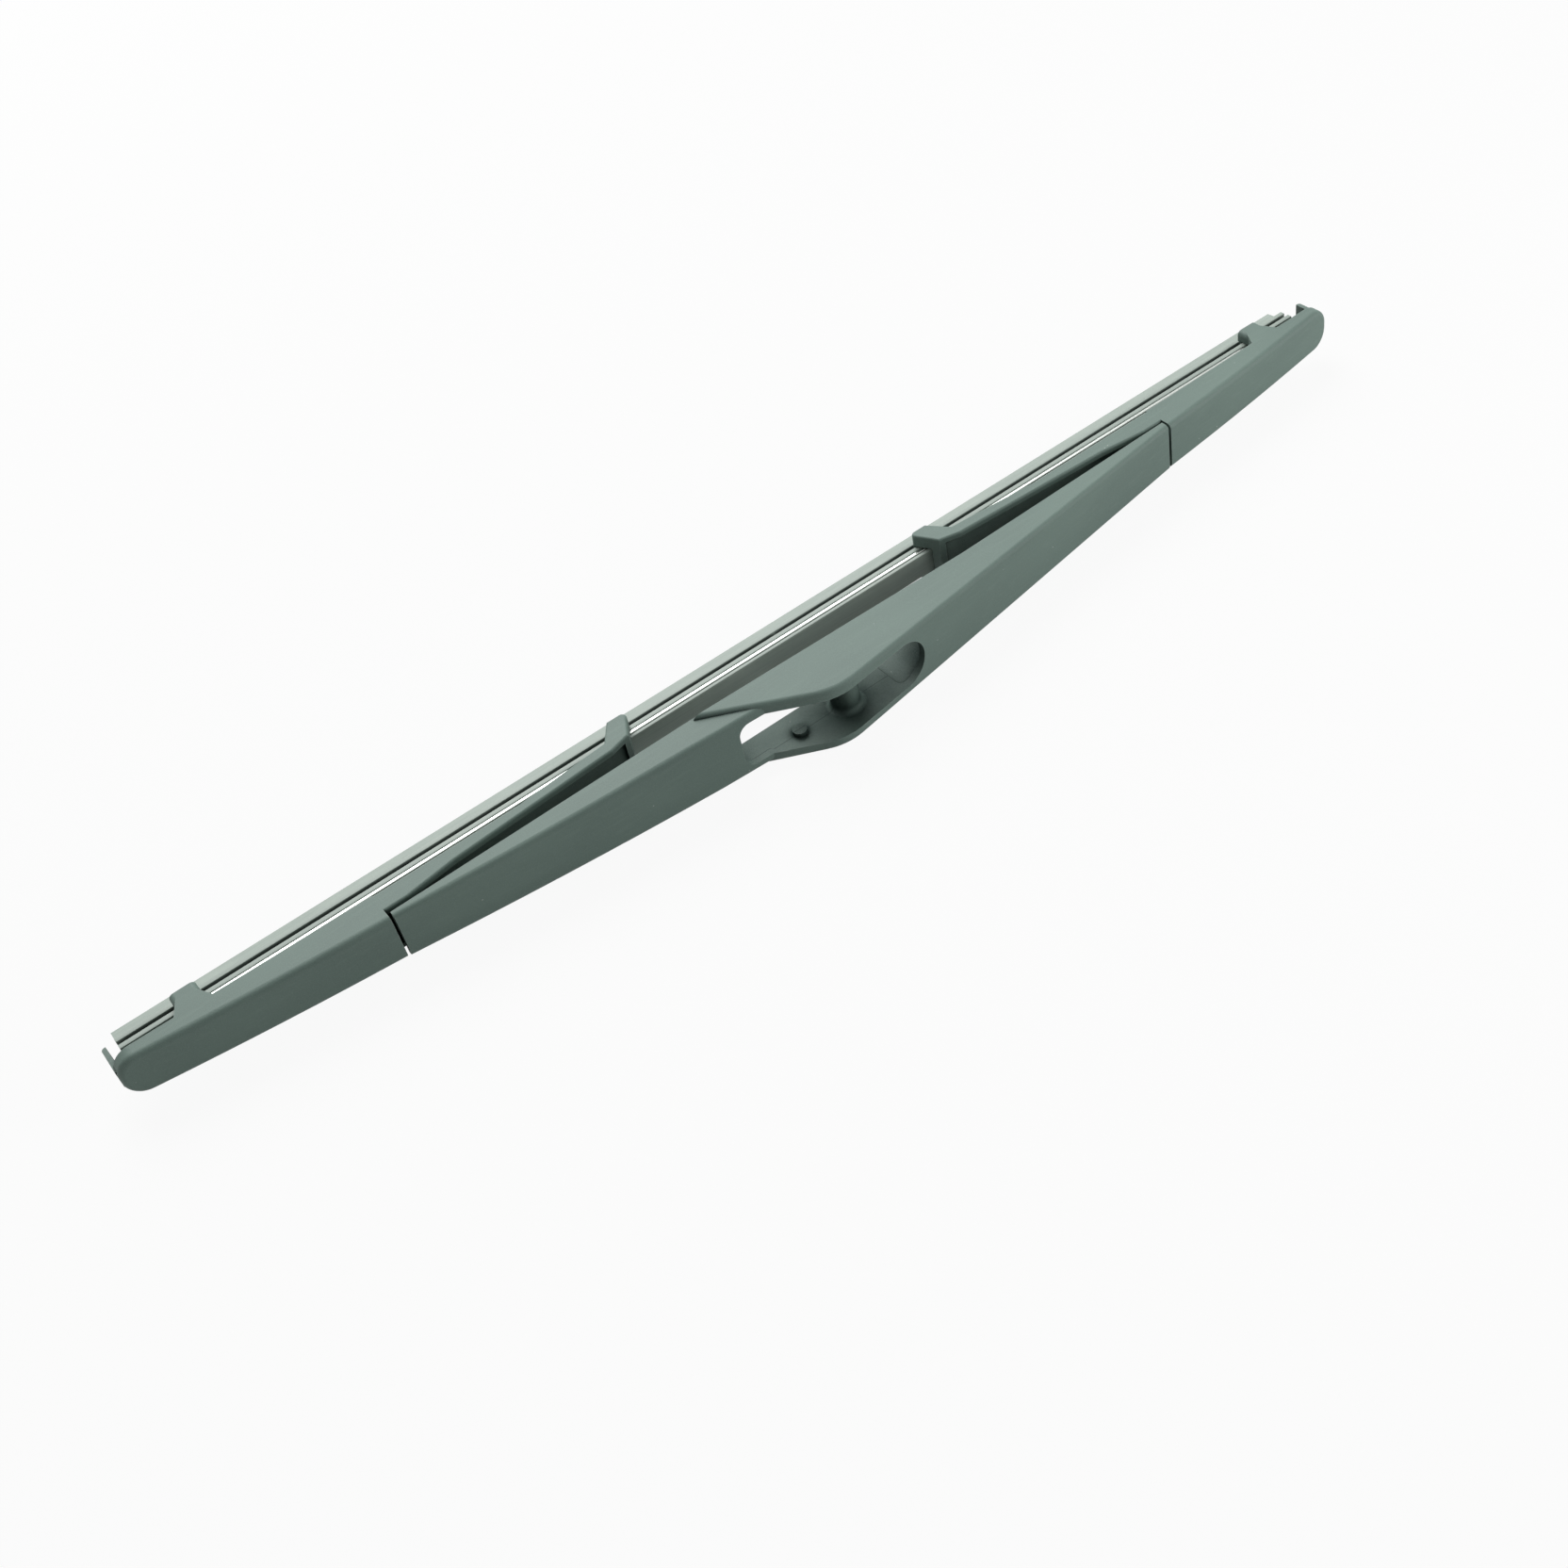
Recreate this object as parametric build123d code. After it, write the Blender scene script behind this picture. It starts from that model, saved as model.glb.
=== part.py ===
from build123d import *
import os

# Rear wiper blade with a moulded bridge, two moulded yokes, a rubber squeegee and its two spring strips.
# Sizes are in millimetres. X runs along the blade, +Y points to the glass and Z runs across the blade.
# The origin is the middle of the cross pin in the bridge, which the wiper arm grips.
# A height is measured from the glass, where the edge of the rubber touches it.

# Places along the blade, from the cross pin
blade_middle = -2.2
cheek_start = -35.0
cheek_end = 12.2
peak_at = -6.9
window_left = -28.6
window_right = 19.6
left_run_in = -20.0
nub_at = -13.3
hem_bend_at = 43.0

# Distances along the blade, from its middle
half_length = 173.2
outer_claw_inset = 19.7
joint_at = 110.85
hinge_at = 105.5
inner_claw_at = 43.6
arm_shoulder_at = 93.0
arm_belly_at = 75.0

# Heights above the glass
pin_height = 28.7
peak_height = 38.2
left_ridge_height = 29.8
joint_ridge_height = 21.8
tip_ridge_height = 14.4
cheek_hem_height = 21.9
left_hem_height = 21.2
left_end_hem_height = 20.1
right_end_hem_height = 19.5
hinge_height = 16.6
arm_top_height = 18.6
arm_shoulder_height = 16.8
arm_end_height = 14.3
rim_joint_height = 13.0
rim_tip_height = 11.3
arm_foot_height = 10.9
claw_foot_height = 5.6
end_stop_height = 5.0

# Bridge
bridge_end_width = 13.3
left_cheek_width = 16.7
cheek_width = 18.8
bridge_wall = 1.8
bridge_roof = 2.0
bridge_edge_radius = 1.2
left_crown = 0.9
peak_radius = 14.0
window_width = 12.4
window_corner_radius = 3.0
hollow_corner_radius = 1.6
pin_diameter = 7.0
pin_root_radius = 1.4
nub_diameter = 3.4
nub_rise = 1.1
bridge_rib = 1.4
bridge_rib_gap = 1.2
left_rib_count = 2
right_rib_count = 3

# Yokes and their hinges
joint_gap = 0.8
yoke_joint_width = 13.0
yoke_tip_width = 11.4
arm_claw_width = 13.2
yoke_wall = 1.5
yoke_roof = 1.6
yoke_edge_radius = 1.4
tip_corner_radius = 5.0
tip_crown = 0.5
arm_web = 1.5
web_run_in = 6.0
hinge_bar_diameter = 3.6
hinge_clearance = 0.05
clip_wall = 1.7
clip_jaw = 1.2
clip_play = 0.5
end_stop_width = 5.0
end_stop_thickness = 1.1
end_stop_radius = 0.8

# Claws, which hold the squeegee by its head
outer_claw_width = 6.2
outer_claw_flare = 2.0
inner_claw_width = 5.4
inner_claw_lean = 4.0
claw_corner_radius = 1.2
arm_edge_radius = 0.6
claw_play = 0.25
hook_play = 0.15

# Squeegee section
lip_edge_thickness = 0.7
lip_root_thickness = 1.5
lip_root_height = 3.4
shoulder_width = 5.8
shoulder_low = 4.6
shoulder_high = 5.85
neck_width = 1.9
head_width = 6.2
head_low = 7.0
slot_low = 8.35
slot_high = 9.7
slot_web = 1.8
head_top = 10.65
squeegee_left_inset = 3.3
squeegee_right_inset = 6.3

# Spring strips
strip_thickness = 0.95
strip_play = 0.05
strip_corner_radius = 0.6

# Sizes that follow from the ones above
joint_half_gap = joint_gap / 2
bridge_left_end = blade_middle - joint_at + joint_half_gap
bridge_right_end = blade_middle + joint_at - joint_half_gap
cap_start = joint_at + joint_half_gap
outer_claw_at = half_length - outer_claw_inset
squeegee_left = blade_middle - half_length + squeegee_left_inset
squeegee_right = blade_middle + half_length - squeegee_right_inset
through = 2 * peak_height
hook_low_height = shoulder_high + hook_play
hook_top_height = head_low - hook_play
throat_top_height = head_top + claw_play
throat_width = head_width + 2 * claw_play
hook_gap_width = neck_width + 2 * claw_play
shoulder_gap_width = shoulder_width + 2 * claw_play
hinge_bore_radius = hinge_bar_diameter / 2 + hinge_clearance


def side(along, height):
    """A point of the side view, from its place along the blade and its height above the glass."""
    return (along, pin_height - height)


def side_solid(outline, width):
    """A side view made solid, width wide across the blade."""
    return extrude(make_face(outline), width / 2, both=True)


def plan_solid(start, start_width, finish, finish_width):
    """A tapered plan made solid through the full height."""
    corners = [
        (start, -start_width / 2),
        (finish, -finish_width / 2),
        (finish, finish_width / 2),
        (start, start_width / 2),
    ]
    return extrude(Plane.XZ * make_face(Polyline(*corners, close=True)), through, both=True)


def block(start, finish, low, high, width):
    """A plain block between two places along the blade and two heights."""
    centre = side((start + finish) / 2, (low + high) / 2)
    return Pos(*centre) * Box(finish - start, high - low, width)


def ridge_edges(solid):
    """The edges of those faces that look away from the glass, more than along the blade."""
    return solid.faces().filter_by(lambda face: face.normal_at().Y < -abs(face.normal_at().X)).edges()


def side_edges(edges):
    """Those of the edges that run along one side or the other, away from the middle."""
    along_sides = edges.filter_by(lambda edge: abs(edge.center().Z) > bridge_wall)
    return along_sides.filter_by(Axis.Y, reverse=True)


def left_outline(depth):
    """Side view of the bridge's left half, with its ridge lowered by depth."""
    ridge_start = side(bridge_left_end, joint_ridge_height - depth)
    ridge_finish = side(left_run_in, left_ridge_height - depth)
    hem_step = window_left - window_corner_radius
    hem = [
        side(left_run_in, cheek_hem_height),
        side(hem_step, cheek_hem_height),
        side(hem_step, left_hem_height),
        side(bridge_left_end, left_end_hem_height),
    ]
    if depth:
        hem = [side(left_run_in, 0), side(bridge_left_end, 0)]
    return Curve() + [
        SagittaArc(ridge_start, ridge_finish, -left_crown),
        Polyline(ridge_finish, *hem, ridge_start),
    ]


def right_ridge(along):
    """Height of the bridge's right ridge at a place along the blade."""
    share = (along - peak_at) / (bridge_right_end - peak_at)
    return peak_height + share * (joint_ridge_height - peak_height)


def bridge_outside():
    """Both halves of the bridge before it is hollowed, with rounded ridges."""
    left = side_solid(left_outline(0), cheek_width)
    plan = plan_solid(bridge_left_end, bridge_end_width, cheek_start, left_cheek_width)
    left &= plan + plan_solid(cheek_start, left_cheek_width, left_run_in, left_cheek_width)
    left = fillet(side_edges(ridge_edges(left)), bridge_edge_radius)
    outline = Polyline(
        side(cheek_start, cheek_hem_height),
        side(peak_at, peak_height),
        side(bridge_right_end, joint_ridge_height),
        side(bridge_right_end, right_end_hem_height),
        side(hem_bend_at, cheek_hem_height),
        close=True,
    )
    face = make_face(outline)
    face = fillet(face.vertices().sort_by(Axis.Y)[0], peak_radius)
    right = extrude(face, cheek_width / 2, both=True)
    right &= plan_solid(cheek_start, cheek_width, bridge_right_end, bridge_end_width)
    right = fillet(side_edges(ridge_edges(right)), bridge_edge_radius)
    return left + right


def bridge_ribs():
    """Cross ribs that stiffen the hollow halves of the bridge."""
    ribs = []
    left_pitch = (window_left - bridge_left_end) / (left_rib_count + 2)
    for step in range(left_rib_count):
        ribs.append((window_left - (step + 1) * left_pitch, left_hem_height))
    right_pitch = (bridge_right_end - window_right) / (right_rib_count + 1)
    for step in range(right_rib_count):
        ribs.append((window_right + (step + 1 / 2) * right_pitch, cheek_hem_height))
    half = bridge_rib / 2
    return [block(at - half, at + half, hem + bridge_rib_gap, peak_height, cheek_width) for at, hem in ribs]


def bridge_hollow():
    """The space inside the bridge, open towards the glass, with the ribs left standing."""
    left = side_solid(left_outline(bridge_roof), cheek_width)
    plan = plan_solid(bridge_left_end, bridge_end_width - 2 * bridge_wall, window_left, window_width)
    left &= plan + plan_solid(window_left, window_width, window_left + window_corner_radius, window_width)
    outline = Polyline(
        side(cheek_end, right_ridge(cheek_end) - bridge_roof),
        side(bridge_right_end, joint_ridge_height - bridge_roof),
        side(bridge_right_end, 0),
        side(cheek_end, 0),
        close=True,
    )
    face = make_face(outline)
    face = fillet(face.vertices().sort_by(Axis.Y)[0], hollow_corner_radius)
    right = extrude(face, cheek_width / 2, both=True)
    right &= plan_solid(
        cheek_start, cheek_width - 2 * bridge_wall, bridge_right_end, bridge_end_width - 2 * bridge_wall
    )
    hollow = left + right
    for rib in bridge_ribs():
        hollow -= rib
    return hollow


def window():
    """The window over the pin, with round corners at its left and a round end at its right."""
    round_end = window_right - window_width / 2
    middle = (window_left + round_end) / 2
    body = Pos(middle, 0) * Rectangle(round_end - window_left, window_width)
    left_corners = body.vertices().sort_by(Axis.X)[:2]
    face = fillet(left_corners, window_corner_radius) + Pos(round_end, 0) * Circle(window_width / 2)
    return extrude(Plane.XZ * face, through, both=True)


def hinge_clip(at, inside_width):
    """A snap clip under the bridge's roof that grips the yoke's hinge bar."""
    reach = hinge_bore_radius + clip_wall
    top = joint_ridge_height - bridge_roof / 2
    clip = block(at - reach, at + reach, hinge_height - clip_jaw, top, inside_width - 2 * clip_play)
    centre = side(at, hinge_height)
    return clip - Pos(*centre) * Cylinder(hinge_bore_radius, cheek_width)


def bridge():
    """The main lever: a hollow moulding with cheeks round the arm's pin and a clip at each end."""
    body = bridge_outside() - bridge_hollow() - window()
    body += Cylinder(pin_diameter / 2, window_width + bridge_wall)
    pin_roots = body.edges().filter_by(GeomType.CIRCLE)
    pin_roots = pin_roots.filter_by(lambda edge: abs(edge.radius - pin_diameter / 2) < hinge_clearance)
    body = fillet(pin_roots, pin_root_radius)
    for way in (-1, 1):
        nub = Pos(nub_at, 0, way * window_width / 2) * Cylinder(nub_diameter / 2, 2 * nub_rise)
        body += nub
        inside_width = yoke_joint_width - 2 * yoke_wall
        body += hinge_clip(blade_middle + way * hinge_at, inside_width)
    return body


def cap_outline(depth):
    """Side view of the yoke's outer half, with its ridge lowered by depth."""
    ridge_start = side(cap_start, joint_ridge_height - depth)
    ridge_finish = side(half_length, tip_ridge_height - depth)
    rim = [side(half_length, rim_tip_height), side(cap_start, rim_joint_height)]
    if depth:
        rim = [side(half_length, 0), side(cap_start, 0)]
    return Curve() + [
        SagittaArc(ridge_start, ridge_finish, -tip_crown),
        Polyline(ridge_finish, *rim, ridge_start),
    ]


def cap_plan(inset):
    """Plan of the yoke's outer half, drawn inset from its outside, with round corners at the tip."""
    half_start = yoke_joint_width / 2 - inset
    half_finish = yoke_tip_width / 2 - inset
    finish = half_length - inset
    corners = [(cap_start, -half_start), (finish, -half_finish), (finish, half_finish), (cap_start, half_start)]
    face = make_face(Polyline(*corners, close=True))
    tip_corners = face.vertices().sort_by(Axis.X)[2:]
    return extrude(Plane.XZ * fillet(tip_corners, tip_corner_radius - inset), through, both=True)


def yoke_cap():
    """The outer half of a yoke: a hollow cap with a rounded tip, and a stop for the squeegee's end."""
    cap = side_solid(cap_outline(0), yoke_joint_width) & cap_plan(0)
    ridge = ridge_edges(cap).filter_by(lambda edge: edge.center().X > cap_start + joint_gap)
    cap = fillet(ridge, yoke_edge_radius)
    cap -= side_solid(cap_outline(yoke_roof), yoke_joint_width) & cap_plan(yoke_wall)
    stop_start = half_length - end_stop_thickness
    stop = block(stop_start, half_length, end_stop_height, rim_tip_height + yoke_wall, end_stop_width)
    stop_end = stop.edges().filter_by(Axis.Z).sort_by(Axis.Y)[-2:].sort_by(Axis.X)[-1]
    cap += fillet(stop_end, end_stop_radius)
    web_end = cap_start + web_run_in
    web_top = rim_joint_height + arm_web
    return cap + block(cap_start, web_end, rim_joint_height, web_top, yoke_joint_width - 2 * yoke_wall)


def yoke_arm():
    """The inner half of a yoke: a trough under the bridge that ends in the leaning inner claw."""
    inner = inner_claw_at - inner_claw_width / 2
    outer = inner_claw_at + inner_claw_width / 2
    arm_end = inner + inner_claw_lean
    arm_foot = outer + inner_claw_lean
    outline = Polyline(
        side(cap_start, arm_top_height),
        side(hinge_at, arm_top_height),
        side(arm_shoulder_at, arm_shoulder_height),
        side(arm_foot, arm_end_height),
        side(arm_end, arm_end_height - arm_web),
        side(inner, claw_foot_height),
        side(outer, claw_foot_height),
        side(arm_foot, arm_foot_height),
        side(arm_belly_at, rim_joint_height),
        side(cap_start, rim_joint_height),
        close=True,
    )
    face = make_face(outline)
    foot_corner = face.vertices().sort_by(Axis.Y)[-2:].sort_by(Axis.X)[0]
    face = fillet(foot_corner, claw_corner_radius)
    arm = extrude(face, yoke_joint_width / 2, both=True)
    arm &= plan_solid(inner, arm_claw_width, cap_start, yoke_joint_width)
    rounded = arm.edges().filter_by(lambda edge: abs(edge.center().Z) > arm_claw_width / 2 - yoke_wall)
    arm = fillet(rounded.filter_by(lambda edge: edge.center().X < cap_start - joint_gap), arm_edge_radius)
    trough = Polyline(
        side(cap_start, through),
        side(arm_end + yoke_wall, through),
        side(arm_end + yoke_wall, arm_foot_height + arm_web),
        side(arm_foot, arm_foot_height + arm_web),
        side(arm_belly_at, rim_joint_height + arm_web),
        side(cap_start, rim_joint_height + arm_web),
        close=True,
    )
    hollow = side_solid(trough, yoke_joint_width)
    hollow &= plan_solid(
        inner, arm_claw_width - 2 * yoke_wall, cap_start, yoke_joint_width - 2 * yoke_wall
    )
    return arm - hollow


def outer_claw():
    """The claw near the tip: a flared block across the cap, down to the squeegee's neck."""
    half_foot = outer_claw_width / 2
    half_root = half_foot + outer_claw_flare
    outline = Polyline(
        side(outer_claw_at - half_root, rim_joint_height),
        side(outer_claw_at - half_foot, rim_tip_height - outer_claw_flare),
        side(outer_claw_at - half_foot, claw_foot_height),
        side(outer_claw_at + half_foot, claw_foot_height),
        side(outer_claw_at + half_foot, rim_tip_height - outer_claw_flare),
        side(outer_claw_at + half_root, rim_joint_height),
        close=True,
    )
    claw = side_solid(outline, yoke_joint_width) & cap_plan(0)
    foot_edges = claw.edges().filter_by(Axis.Y).filter_by(lambda edge: edge.center().Y > pin_height - rim_tip_height)
    return fillet(foot_edges, claw_corner_radius)


def throat(at, reach):
    """The room in a claw for the squeegee: its head above the hooks, and its neck between them."""
    head = block(at - reach, at + reach, hook_top_height, throat_top_height, throat_width)
    neck = block(at - reach, at + reach, hook_low_height, hook_top_height, hook_gap_width)
    shoulder = block(at - reach, at + reach, 0, hook_low_height, shoulder_gap_width)
    return head + neck + shoulder


def yoke():
    """An end lever: cap, arm and two claws in one moulding, with a hinge bar between its walls."""
    body = yoke_cap() + yoke_arm() + outer_claw()
    body -= throat(outer_claw_at, outer_claw_width)
    body -= throat(inner_claw_at, inner_claw_width + inner_claw_lean)
    bar_width = yoke_joint_width - yoke_wall
    bar = Pos(*side(hinge_at, hinge_height)) * Cylinder(hinge_bar_diameter / 2, bar_width)
    return body + bar


def squeegee():
    """The rubber: a tapered lip, a shoulder, a thin neck and a head with a slot in each side."""
    half_section = [
        (lip_edge_thickness / 2, 0),
        (lip_root_thickness / 2, lip_root_height),
        (shoulder_width / 2, shoulder_low),
        (shoulder_width / 2, shoulder_high),
        (neck_width / 2, shoulder_high),
        (neck_width / 2, head_low),
        (head_width / 2, head_low),
        (head_width / 2, slot_low),
        (slot_web / 2, slot_low),
        (slot_web / 2, slot_high),
        (head_width / 2, slot_high),
        (head_width / 2, head_top),
    ]
    near = [(pin_height - height, across) for across, height in half_section]
    far = [(along, -across) for along, across in reversed(near)]
    face = Plane.YZ * make_face(Polyline(*near, *far, close=True))
    return Pos(squeegee_left, 0, 0) * extrude(face, squeegee_right - squeegee_left)


def spring_strip(way):
    """A flat spring-steel strip lying in the squeegee's slot on one side."""
    inside = slot_web / 2 + strip_play
    width = head_width / 2 - strip_play - inside
    start = blade_middle - outer_claw_at
    finish = blade_middle + outer_claw_at
    low = slot_low + strip_play
    strip = block(start, finish, low, low + strip_thickness, width)
    strip = fillet(strip.edges().filter_by(Axis.Y), strip_corner_radius)
    return Pos(0, 0, way * (inside + width / 2)) * strip


end_lever = yoke()
nodes = {
    "bridge": bridge(),
    "yoke_right": Pos(blade_middle, 0, 0) * end_lever,
    "yoke_left": Pos(blade_middle, 0, 0) * Rot(0, 180, 0) * end_lever,
    "squeegee": squeegee(),
    "spring_strip_near": spring_strip(1),
    "spring_strip_far": spring_strip(-1),
}

os.makedirs("parts", exist_ok=True)
for name, solid in nodes.items():
    export_step(solid, f"parts/{name}.step")
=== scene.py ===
import bpy
from mathutils import Matrix, Vector


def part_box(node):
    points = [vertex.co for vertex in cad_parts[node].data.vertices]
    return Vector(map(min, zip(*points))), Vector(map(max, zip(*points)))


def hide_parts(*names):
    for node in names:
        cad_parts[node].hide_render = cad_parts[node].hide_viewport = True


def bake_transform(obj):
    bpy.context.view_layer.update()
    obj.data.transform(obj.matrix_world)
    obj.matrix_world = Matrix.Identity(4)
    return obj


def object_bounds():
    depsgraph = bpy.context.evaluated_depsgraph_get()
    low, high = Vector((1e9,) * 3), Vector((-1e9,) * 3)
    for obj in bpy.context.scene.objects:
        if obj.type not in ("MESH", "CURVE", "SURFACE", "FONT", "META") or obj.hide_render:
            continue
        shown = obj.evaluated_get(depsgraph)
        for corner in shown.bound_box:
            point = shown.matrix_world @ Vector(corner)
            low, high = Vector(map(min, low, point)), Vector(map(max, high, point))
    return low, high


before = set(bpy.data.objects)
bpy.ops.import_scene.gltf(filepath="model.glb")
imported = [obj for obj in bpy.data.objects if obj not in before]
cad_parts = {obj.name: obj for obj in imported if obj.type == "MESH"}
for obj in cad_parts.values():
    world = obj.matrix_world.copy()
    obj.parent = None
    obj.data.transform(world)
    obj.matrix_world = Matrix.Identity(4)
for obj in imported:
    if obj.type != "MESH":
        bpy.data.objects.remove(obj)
cad_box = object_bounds()

# The bridge is the main lever, which the wiper arm presses on through the cross pin in its window.
# It is one hollow injection moulding in grey-green filled plastic, with a fine eroded grain all over,
# and a witness line inside the window where the two halves of the mould meet.
mm = 0.001
plastic_colour = (0.134, 0.196, 0.170)
plastic_dark = (0.110, 0.164, 0.143)
plastic_pale = (0.195, 0.270, 0.230)
dust_colour = (0.50, 0.55, 0.52)
line_colour = (0.02, 0.03, 0.03)
# Painted shade: the plastic's deep recesses are darkened towards this colour, over this reach and
# band.
painted_recess_shade = (0.022, 0.034, 0.031)
painted_shade_reach = 14 * mm
painted_shade_range = (0.52, 1.0)
painted_shade_samples = 8
grain_size = 0.22 * mm
grain_band = (0.40, 0.68)
grain_in_recess = 0.75
grain_in_open = 0.32
grain_depth = 0.6
grain_roughness = 0.10
mottle_size = 14 * mm
mottle_stretch = (3, 1, 1)
mottle_detail = 2.0
mottle_band = (0.3, 0.7)
mottle_roughness = 0.06
flow_size = 0.9 * mm
flow_stretch = (14, 1, 1)
flow_band = (0.5, 0.8)
flow_share = 0.20
flow_depth = 0.25
wear_reach = 0.45 * mm
wear_samples = 4
wear_facing = (0.995, 0.90)
wear_band = (0.85, 1.25)
wear_share = 0.30
speck_spacing = 4.2 * mm
speck_band = (0.050, 0.030)
speck_patches = (0.50, 0.56)
speck_share = 0.7
window_half_width = 6.25 * mm
window_span = (-28.6 * mm, 12.2 * mm)
witness_half_width = 0.10 * mm
witness_step_at = -21.5 * mm
witness_step = 0.9 * mm
witness_share = 0.75
witness_depth = 1.5
plastic_roughness = 0.52
plastic_relief = 0.06 * mm
plastic_relief_share = 0.4


class Wired:
    """A socket in a material's nodes, so that sums on it are written as plain sums."""

    def __init__(self, tree, socket=None):
        self.tree = tree
        self.socket = socket

    def node(self, kind, settings=None, values=None, out=0):
        """Adds a node of this kind, sets it up, feeds its sockets and gives one of its outputs."""
        made = self.tree.nodes.new(kind)
        for name, setting in (settings or {}).items():
            setattr(made, name, setting)
        for name, value in (values or {}).items():
            if isinstance(value, Wired):
                self.tree.links.new(value.socket, made.inputs[name])
            else:
                made.inputs[name].default_value = value
        return Wired(self.tree, made.outputs[out])

    def show(self):
        """Makes this shader the one that the material shows."""
        self.tree.links.new(self.socket, self.tree.nodes["Material Output"].inputs["Surface"])

    def sum(self, operation, *values):
        return self.node("ShaderNodeMath", {"operation": operation}, dict(enumerate(values)))

    def __add__(self, other):
        return self.sum("ADD", self, other)

    def __radd__(self, other):
        return self.sum("ADD", other, self)

    def __sub__(self, other):
        return self.sum("SUBTRACT", self, other)

    def __rsub__(self, other):
        return self.sum("SUBTRACT", other, self)

    def __mul__(self, other):
        return self.sum("MULTIPLY", self, other)

    def __rmul__(self, other):
        return self.sum("MULTIPLY", other, self)

    def __gt__(self, other):
        return self.sum("GREATER_THAN", self, other)

    def __lt__(self, other):
        return self.sum("LESS_THAN", self, other)

    def __abs__(self):
        return self.sum("ABSOLUTE", self)


def new_finish(name):
    """A bare material, as its nodes, its main shader and the places on the piece that wears it."""
    finish = bpy.data.materials.new(name)
    finish.use_nodes = True
    wired = Wired(finish.node_tree)
    shader = finish.node_tree.nodes["Principled BSDF"]
    place = wired.node("ShaderNodeTexCoord", out="Object")
    return finish, wired, shader, place


def feed(wired, shader, **values):
    """Links or sets the shader's sockets, by their names in lower case."""
    for name, value in values.items():
        socket = shader.inputs[name.replace("_", " ").title()]
        if isinstance(value, Wired):
            wired.tree.links.new(value.socket, socket)
        else:
            socket.default_value = value


def grain(wired, place, size, stretch=(1, 1, 1), detail=3.0):
    """Even mottling of a given size, from 0 to 1, drawn out by stretch along each axis."""
    drawn = wired.node(
        "ShaderNodeMapping", {"vector_type": "TEXTURE"}, {"Vector": place, "Scale": stretch}
    )
    values = {"Vector": drawn, "Scale": 1 / size, "Detail": detail}
    return wired.node("ShaderNodeTexNoise", None, values)


def tint(wired, share, first, second):
    """A colour between two others, by a share from 0 to 1."""
    ends = [(*end, 1) if isinstance(end, tuple) else end for end in (first, second)]
    values = {0: share, 6: ends[0], 7: ends[1]}
    return wired.node("ShaderNodeMix", {"data_type": "RGBA"}, values, 2)


def ramp(wired, value, band):
    """The value taken from the two ends of a band onto 0 and 1, and held there beyond them."""
    span = {"Value": value, "From Min": band[0], "From Max": band[1]}
    return wired.node("ShaderNodeMapRange", {"interpolation_type": "SMOOTHSTEP"}, span)


def deep(wired, reach, dark_to_open):
    """1 in the open and 0 deep in a recess of the piece itself, where painted shade is laid."""
    settings = {"samples": painted_shade_samples, "only_local": True}
    open_sky = wired.node("ShaderNodeAmbientOcclusion", settings, {"Distance": reach}, "AO")
    return ramp(wired, open_sky, dark_to_open)


def relief(wired, height, depth, share):
    """Fine unevenness of a surface, from a height that varies over it."""
    values = {"Strength": share, "Distance": depth, "Height": height}
    return wired.node("ShaderNodeBump", None, values)


def moulded_plastic():
    """Grey-green plastic: eroded grain, flow lines, worn edges, dust specks and painted shade in
    recesses.
    """
    finish, wired, shader, place = new_finish("moulded_plastic")
    fine = grain(wired, place, grain_size)
    broad = grain(wired, place, mottle_size, mottle_stretch, mottle_detail)
    flow = grain(wired, place, flow_size, flow_stretch)
    openness = deep(wired, painted_shade_reach, painted_shade_range)
    colour = tint(wired, ramp(wired, broad, mottle_band), plastic_dark, plastic_colour)
    grain_share = grain_in_recess - (grain_in_recess - grain_in_open) * openness
    colour = tint(wired, grain_share * ramp(wired, fine, grain_band), colour, plastic_pale)
    colour = tint(wired, flow_share * ramp(wired, flow, flow_band), colour, plastic_pale)
    rounded = wired.node("ShaderNodeBevel", {"samples": wear_samples}, {"Radius": wear_reach})
    plain = wired.node("ShaderNodeNewGeometry", out="Normal")
    facing = wired.node(
        "ShaderNodeVectorMath", {"operation": "DOT_PRODUCT"}, {0: rounded, 1: plain}, "Value"
    )
    wear = ramp(wired, facing, wear_facing) * ramp(wired, flow + fine, wear_band)
    colour = tint(wired, wear_share * wear, colour, dust_colour)
    values = {"Vector": place, "Scale": 1 / speck_spacing}
    specks = wired.node("ShaderNodeTexVoronoi", None, values)
    dust = ramp(wired, specks, speck_band) * ramp(wired, broad, speck_patches)
    colour = tint(wired, speck_share * dust, colour, dust_colour)
    along, to_glass, across = (
        wired.node("ShaderNodeSeparateXYZ", None, {"Vector": place}, axis) for axis in "XYZ"
    )
    stepped = ramp(wired, along, (witness_step_at + witness_step, witness_step_at))
    line = to_glass - witness_step * stepped
    inside = (along > window_span[0]) * (along < window_span[1])
    inside = inside * (abs(across) < window_half_width)
    witness = inside * (abs(line) < witness_half_width)
    colour = tint(wired, witness_share * witness, colour, line_colour)
    height = grain_depth * fine + flow_depth * flow - witness_depth * witness
    bump = relief(wired, height, plastic_relief, plastic_relief_share)
    rough = plastic_roughness + grain_roughness * fine + mottle_roughness * broad
    feed(wired, shader, base_color=colour, roughness=rough, normal=bump)
    # Deep in the recesses a dark matt shader is mixed in over the plastic: painted shade.
    shade = wired.node("ShaderNodeBsdfDiffuse", None, {"Color": (*painted_recess_shade, 1)})
    lit = Wired(wired.tree, shader.outputs["BSDF"])
    wired.node("ShaderNodeMixShader", None, {0: openness, 1: shade, 2: lit}).show()
    return finish


def dress(node, finish):
    """Gives a piece of the frame its finish."""
    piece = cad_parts[node]
    for place in piece.material_slots:
        place.material = finish


plastic = moulded_plastic()
dress("bridge", plastic)

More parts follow.
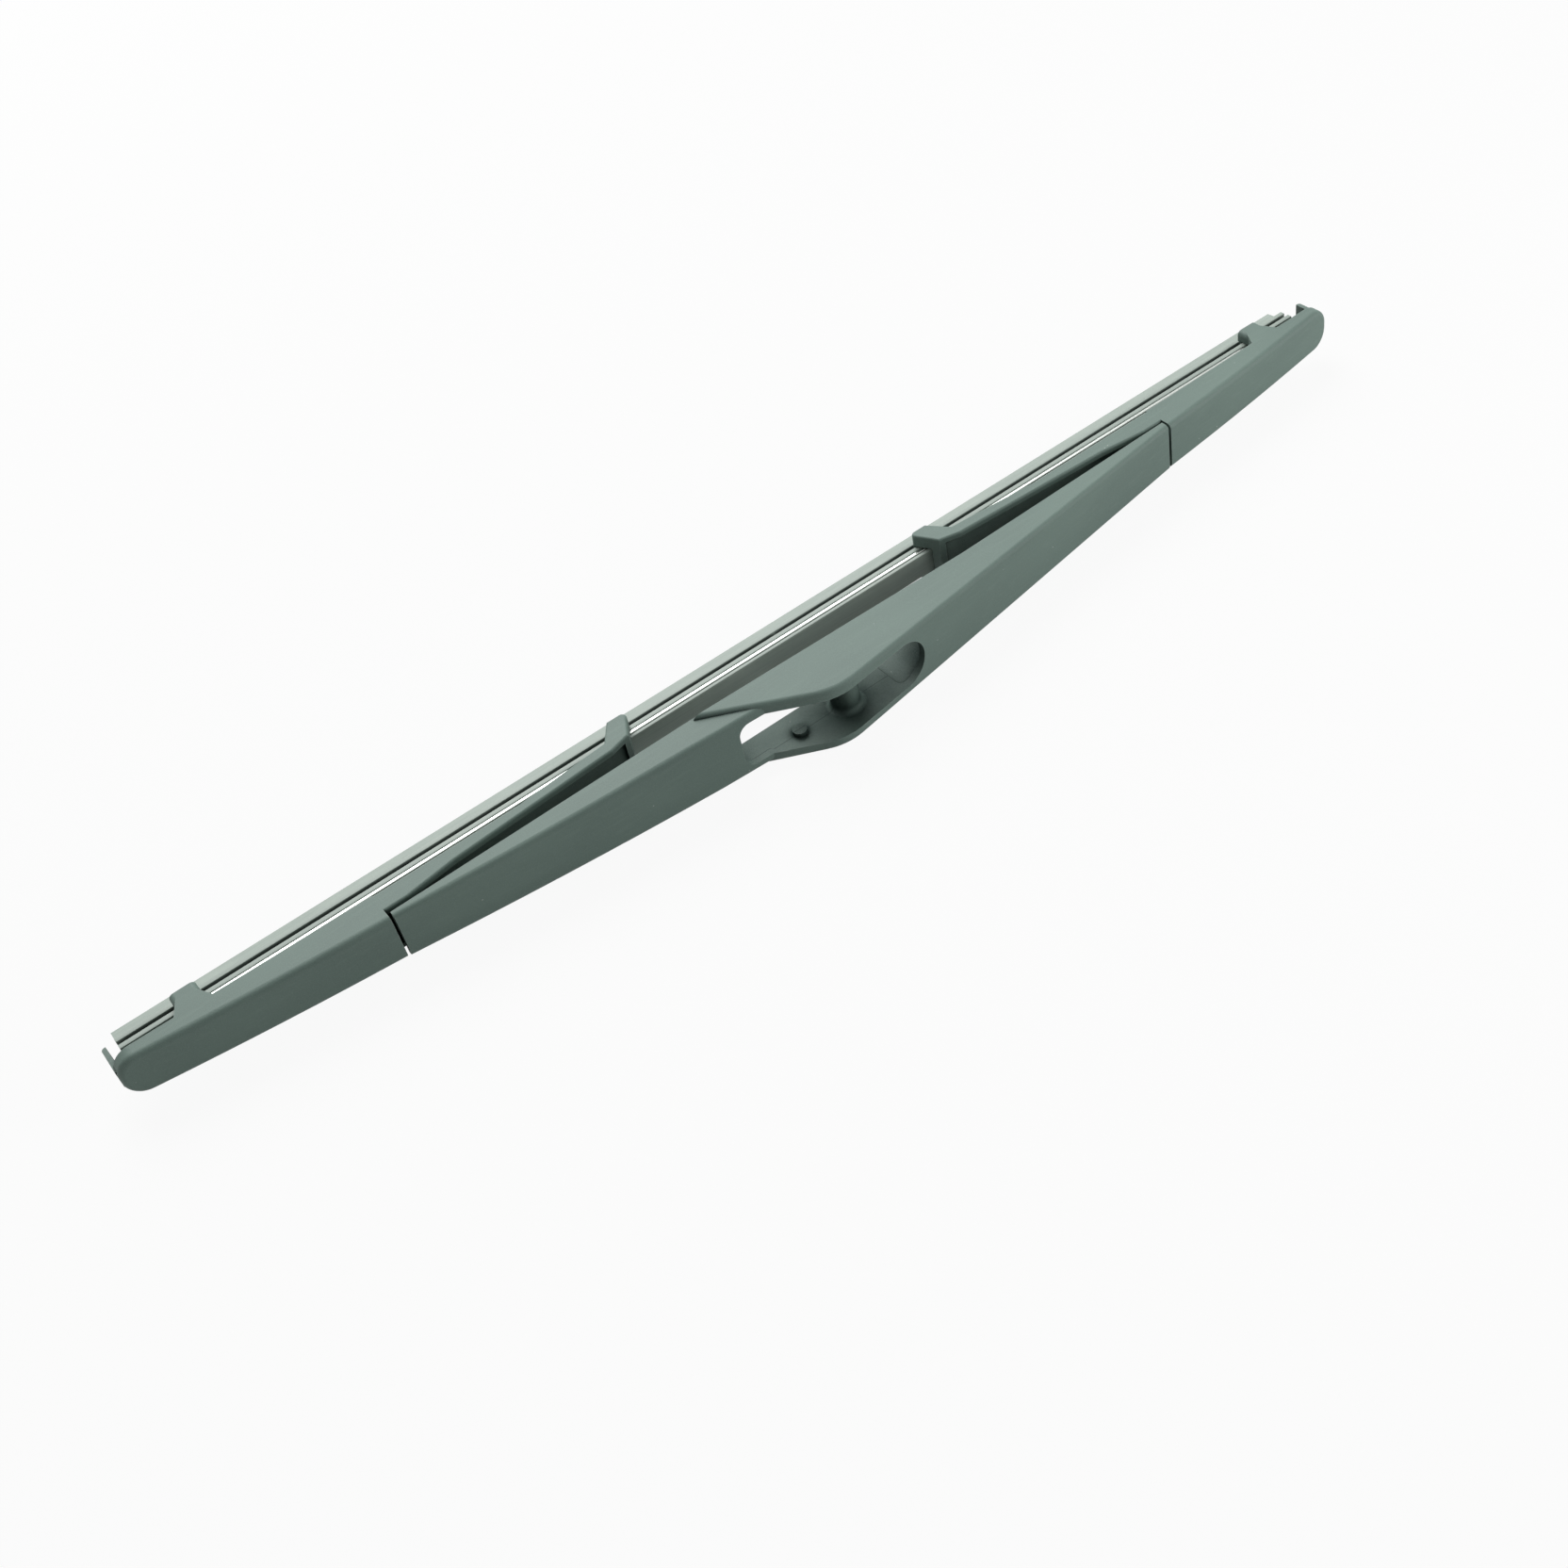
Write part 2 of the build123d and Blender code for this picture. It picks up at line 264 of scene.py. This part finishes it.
# The two yokes are one moulding used twice, turned end for end, in the same grained plastic.
# Each rocks on a hinge bar that snaps into the bridge, and carries two claws for the rubber.
dress("yoke_left", plastic)
dress("yoke_right", plastic)

# The spring strips are two flat bars of bright rolled spring steel that lie in the rubber's slots.
# They hold it flat between the claws and spread the arm's load, and bend as the yokes rock.
# Each is made in a left and a right half, split at the middle of the blade.
blade_middle = (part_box("spring_strip_near")[0][0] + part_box("spring_strip_near")[1][0]) / 2
bend_step = 2.0 * mm
corner_steps = 3
smooth_angle = 0.6
strip_edge = 0.22 * mm
steel_colour = (0.50, 0.53, 0.50)
steel_shade = (0.38, 0.405, 0.385)
roll_line_size = 0.25 * mm
roll_line_stretch = (60, 1, 1)
roll_line_band = (0.45, 0.75)
roll_line_share = 0.5
roll_line_roughness = 0.10
tarnish_size = 9 * mm
tarnish_stretch = (2, 1, 1)
tarnish_band = (0.5, 0.75)
tarnish_share = 0.3
tarnish_roughness = 0.06
steel_roughness = 0.16
steel_relief = 0.02 * mm
steel_relief_share = 0.2


def traced_face(name, outline, along, rounding):
    """A new flat face across the blade at a place along it, traced point by point, corners rounded."""
    bpy.ops.object.select_all(action="DESELECT")
    bpy.ops.mesh.primitive_plane_add(size=mm, location=(0, 0, 0))
    piece = bpy.context.object
    piece.name = name
    bpy.ops.object.mode_set(mode="EDIT")
    bpy.ops.mesh.select_all(action="SELECT")
    bpy.ops.mesh.merge(type="CENTER")
    first, *others = [Vector((along, *point)) for point in outline]
    bpy.ops.transform.translate(value=first)
    here = first
    for point in others:
        bpy.ops.mesh.extrude_vertices_move(TRANSFORM_OT_translate={"value": point - here})
        here = point
    bpy.ops.mesh.select_all(action="SELECT")
    bpy.ops.mesh.edge_face_add()
    bpy.ops.mesh.select_mode(type="VERT")
    bpy.ops.mesh.select_all(action="SELECT")
    bpy.ops.mesh.bevel(offset=rounding, segments=corner_steps, affect="VERTICES")
    bpy.ops.mesh.select_all(action="SELECT")
    return piece


def drawn_along(finish_at, start_at):
    """Draws the traced face along the blade in short steps, so that the piece can bend."""
    steps = max(1, round(abs(finish_at - start_at) / bend_step))
    step = Vector(((finish_at - start_at) / steps, 0, 0))
    for _ in range(steps):
        bpy.ops.mesh.extrude_region_move(TRANSFORM_OT_translate={"value": step})
    bpy.ops.mesh.select_all(action="SELECT")
    bpy.ops.mesh.normals_make_consistent(inside=False)


def finished(piece, finish):
    """Leaves edit mode, smooths the round faces and gives the piece its finish."""
    bpy.ops.object.mode_set(mode="OBJECT")
    bpy.ops.object.shade_smooth_by_angle(angle=smooth_angle)
    piece.data.materials.clear()
    piece.data.materials.append(finish)


def follow_yoke(piece, way):
    """Bakes where half a bar or half the rubber stands into its mesh, the same way for either side."""
    if way < 0:
        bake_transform(piece)
    else:
        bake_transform(piece)


def rolled_steel():
    """Bright rolled steel with fine lines along it and a little tarnish."""
    finish, wired, shader, place = new_finish("rolled_spring_steel")
    drawn = grain(wired, place, roll_line_size, roll_line_stretch)
    tarnish = grain(wired, place, tarnish_size, tarnish_stretch)
    lines = roll_line_share * ramp(wired, drawn, roll_line_band)
    colour = tint(wired, lines, steel_colour, steel_shade)
    stains = tarnish_share * ramp(wired, tarnish, tarnish_band)
    colour = tint(wired, stains, colour, steel_shade)
    bump = relief(wired, drawn, steel_relief, steel_relief_share)
    rough = steel_roughness + roll_line_roughness * drawn + tarnish_roughness * tarnish
    feed(wired, shader, base_color=colour, metallic=1.0, roughness=rough, normal=bump)
    return finish


steel = rolled_steel()
for node in ("spring_strip_near", "spring_strip_far"):
    low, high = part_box(node)
    corners = [(low[1], low[2]), (low[1], high[2]), (high[1], high[2]), (high[1], low[2])]
    for way, side in ((-1, "left"), (1, "right")):
        bar = traced_face(f"{node}_{side}", corners, blade_middle, strip_edge)
        drawn_along(low[0] if way < 0 else high[0], blade_middle)
        finished(bar, steel)
        follow_yoke(bar, way)
        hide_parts(node)

# The squeegee is one extruded rubber: a thin lip that wipes the glass, a flange, a neck that lets it
# lie over, and a head that the claws grip, with a slot in each side for a spring strip.
# It slides into the claws from one end and lies between the end stops of the two yokes.
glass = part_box("squeegee")[1][1]
rubber_colour = (0.360, 0.425, 0.380)
rubber_dark = (0.320, 0.380, 0.342)
rubber_bloom = (0.430, 0.495, 0.440)
# Painted shade: the rubber's grooves are darkened towards this colour, over this reach and band.
painted_groove_shade = (0.030, 0.042, 0.038)
groove_shade_reach = 3.0 * mm
groove_shade_range = (0.12, 0.95)
die_line_size = 0.35 * mm
die_line_stretch = (40, 1, 1)
die_line_band = (0.35, 0.65)
die_line_roughness = 0.12
bloom_size = 6 * mm
bloom_stretch = (3, 1, 1)
bloom_band = (0.45, 0.75)
bloom_share = 0.5
bloom_roughness = 0.08
rubber_grain_size = 0.12 * mm
rubber_grain_detail = 2.0
rubber_grain_depth = 0.4
rubber_roughness = 0.44
rubber_relief = 0.03 * mm
rubber_relief_share = 0.12
rubber_round = 0.16 * mm
# Half widths and heights above the lip's edge, in millimetres, from the lip to the head's top
half_section = [
    (0.35, 0.0),
    (0.75, 3.4),
    (2.9, 4.6),
    (2.9, 5.85),
    (0.95, 5.85),
    (0.95, 7.0),
    (3.1, 7.0),
    (3.1, 8.35),
    (0.9, 8.35),
    (0.9, 9.7),
    (3.1, 9.7),
    (3.1, 10.65),
]


def extruded_rubber():
    """Satin rubber with faint lines from the die, a pale bloom and painted shade in its grooves."""
    finish, wired, shader, place = new_finish("extruded_rubber")
    drawn = grain(wired, place, die_line_size, die_line_stretch)
    bloom = grain(wired, place, bloom_size, bloom_stretch)
    fine = grain(wired, place, rubber_grain_size, detail=rubber_grain_detail)
    colour = tint(wired, ramp(wired, drawn, die_line_band), rubber_dark, rubber_colour)
    colour = tint(wired, bloom_share * ramp(wired, bloom, bloom_band), colour, rubber_bloom)
    # Painted shade darkens the grooves between lip, flange, neck and head.
    colour = tint(wired, deep(wired, groove_shade_reach, groove_shade_range), painted_groove_shade, colour)
    height = drawn + rubber_grain_depth * fine
    bump = relief(wired, height, rubber_relief, rubber_relief_share)
    rough = rubber_roughness + die_line_roughness * drawn + bloom_roughness * bloom
    feed(wired, shader, base_color=colour, roughness=rough, normal=bump)
    return finish


rubber = extruded_rubber()
near = [(glass - high * mm, across * mm) for across, high in half_section]
far = [(to_glass, -across) for to_glass, across in reversed(near)]
rubber_ends = {-1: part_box("squeegee")[0][0], 1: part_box("squeegee")[1][0]}
for way, side in ((-1, "left"), (1, "right")):
    half = traced_face(f"squeegee_{side}", near + far, blade_middle, rubber_round)
    drawn_along(rubber_ends[way], blade_middle)
    finished(half, rubber)
    follow_yoke(half, way)
    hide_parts("squeegee")

# The stage is a plain pale floor under soft studio light. A large soft lamp stands behind the blade,
# so that the sides that face up catch its sheen, and a small one lifts the sides turned from it.
# The camera stands where the photograph was taken from.
floor_gap = 0.1 * mm
floor_reach = 8.0
floor_colour = (0.60, 0.61, 0.60)
white_share = 0.93
room_strength = 0.18
lamp_power = 21.0
lamp_size = 1.15
lamp_way = Vector((0.16, 0.68, 0.71))
lamp_reach = 1.4
fill_power = 1.2
fill_size = 0.25
fill_place = Vector((0.42, -0.30, 0.15))
camera_lens = 45.239
camera_clip = 0.01
camera_place = (-0.164572, -0.286220, 0.302014)
camera_right = (0.792633, -0.586278, -0.167365)
camera_up = (0.519978, 0.506687, 0.687671)
camera_back = (-0.318365, -0.632097, 0.706468)


def seen_directly(wired):
    """1 for what the camera sees, straight or in gloss or glass, and 0 for light on things."""
    camera_ray, gloss_ray, glass_ray = (
        wired.node("ShaderNodeLightPath", out=f"Is {kind} Ray")
        for kind in ("Camera", "Glossy", "Transmission")
    )
    return wired.sum("MINIMUM", camera_ray + gloss_ray + glass_ray, 1.0)


bpy.ops.object.select_all(action="DESELECT")
bpy.ops.mesh.primitive_plane_add(size=floor_reach, location=(0, 0, cad_box[0][2] - floor_gap))
floor = bpy.context.object
floor.name = "floor"
bpy.ops.object.transform_apply(location=True)
paper = bpy.data.materials.new("white_paper")
paper.use_nodes = True
wired = Wired(paper.node_tree)
matt = wired.node("ShaderNodeBsdfDiffuse", None, {"Color": (*floor_colour, 1)})
white = wired.node("ShaderNodeEmission", None, {"Color": (1, 1, 1, 1), "Strength": 1.0})
lightness = white_share * seen_directly(wired)
wired.node("ShaderNodeMixShader", None, {0: lightness, 1: matt, 2: white}).show()
floor.data.materials.append(paper)

room = bpy.data.worlds.new("pale_room")
room.use_nodes = True
bpy.context.scene.world = room
wired = Wired(room.node_tree)
strength = room_strength + (1 - room_strength) * seen_directly(wired)
backdrop = room.node_tree.nodes["Background"]
feed(wired, backdrop, color=(1, 1, 1, 1), strength=strength)


def soft_lamp(name, place, size, power):
    """A round soft lamp that faces the blade."""
    lamp = bpy.data.lights.new(name, "AREA")
    lamp.shape = "DISK"
    lamp.size = size
    lamp.energy = power
    stand = bpy.data.objects.new(name, lamp)
    stand.location = place
    stand.rotation_euler = place.to_track_quat("Z", "Y").to_euler()
    bpy.context.scene.collection.objects.link(stand)


soft_lamp("back_lamp", lamp_way.normalized() * lamp_reach, lamp_size, lamp_power)
soft_lamp("fill_lamp", fill_place, fill_size, fill_power)

lens = bpy.data.cameras.new("camera")
lens.lens = camera_lens
lens.clip_start = camera_clip
camera = bpy.data.objects.new("camera", lens)
camera_turn = Matrix((camera_right, camera_up, camera_back)).transposed().to_4x4()
camera.matrix_world = Matrix.Translation(camera_place) @ camera_turn
bpy.context.scene.collection.objects.link(camera)
bpy.context.scene.camera = camera
bpy.context.scene.view_settings.view_transform = "Standard"
